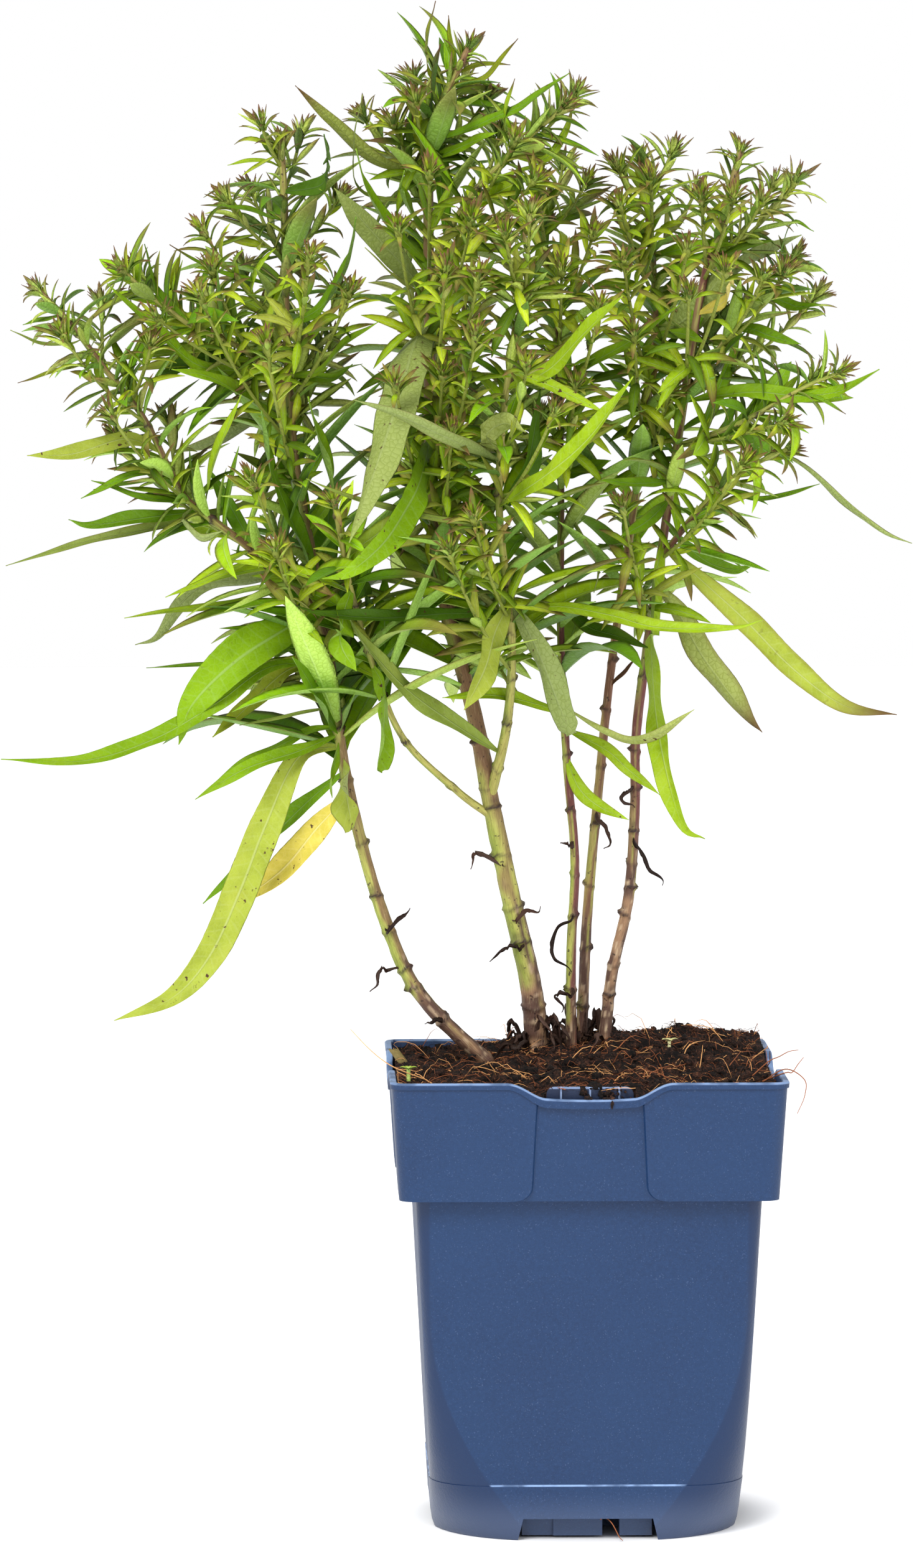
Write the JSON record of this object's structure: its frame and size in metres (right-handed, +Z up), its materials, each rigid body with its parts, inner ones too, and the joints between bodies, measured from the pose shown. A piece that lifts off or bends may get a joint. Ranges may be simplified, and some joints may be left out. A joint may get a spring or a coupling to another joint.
{
  "type": "potted woods pink aster",
  "caption": "Young perennial aster with upright leafy stems, arching narrow leaves and closed bud heads, in a square blue plastic nursery pot filled with compost.",
  "frame": {"origin": "middle of the pot's foot, on the surface that it stands on", "axes": "+Z up along the plant, -Y towards the front of the pot with its label pocket, +X to the right seen from the front"},
  "size_m": [0.2532, 0.1668, 0.4263],
  "materials": {
    "pot": "satin moulded polypropylene, slate blue",
    "compost": "moist peat compost with short fibres",
    "foliage": "fresh narrow leaves, yellow-green to grey-green, with purple-brown tips",
    "dead_stem": "dry hollow straw-coloured stem"
  },
  "bodies": {
    "root": {"pot": "pot", "compost": "compost", "leafy_stem_1": "foliage", "leafy_stem_2": "foliage", "leafy_stem_3": "foliage", "leafy_stem_4": "foliage", "leafy_stem_5": "foliage", "old_stem_stub": "dead_stem", "seedling_left": "foliage", "seedling_right": "foliage"}
  },
  "joints": []
}
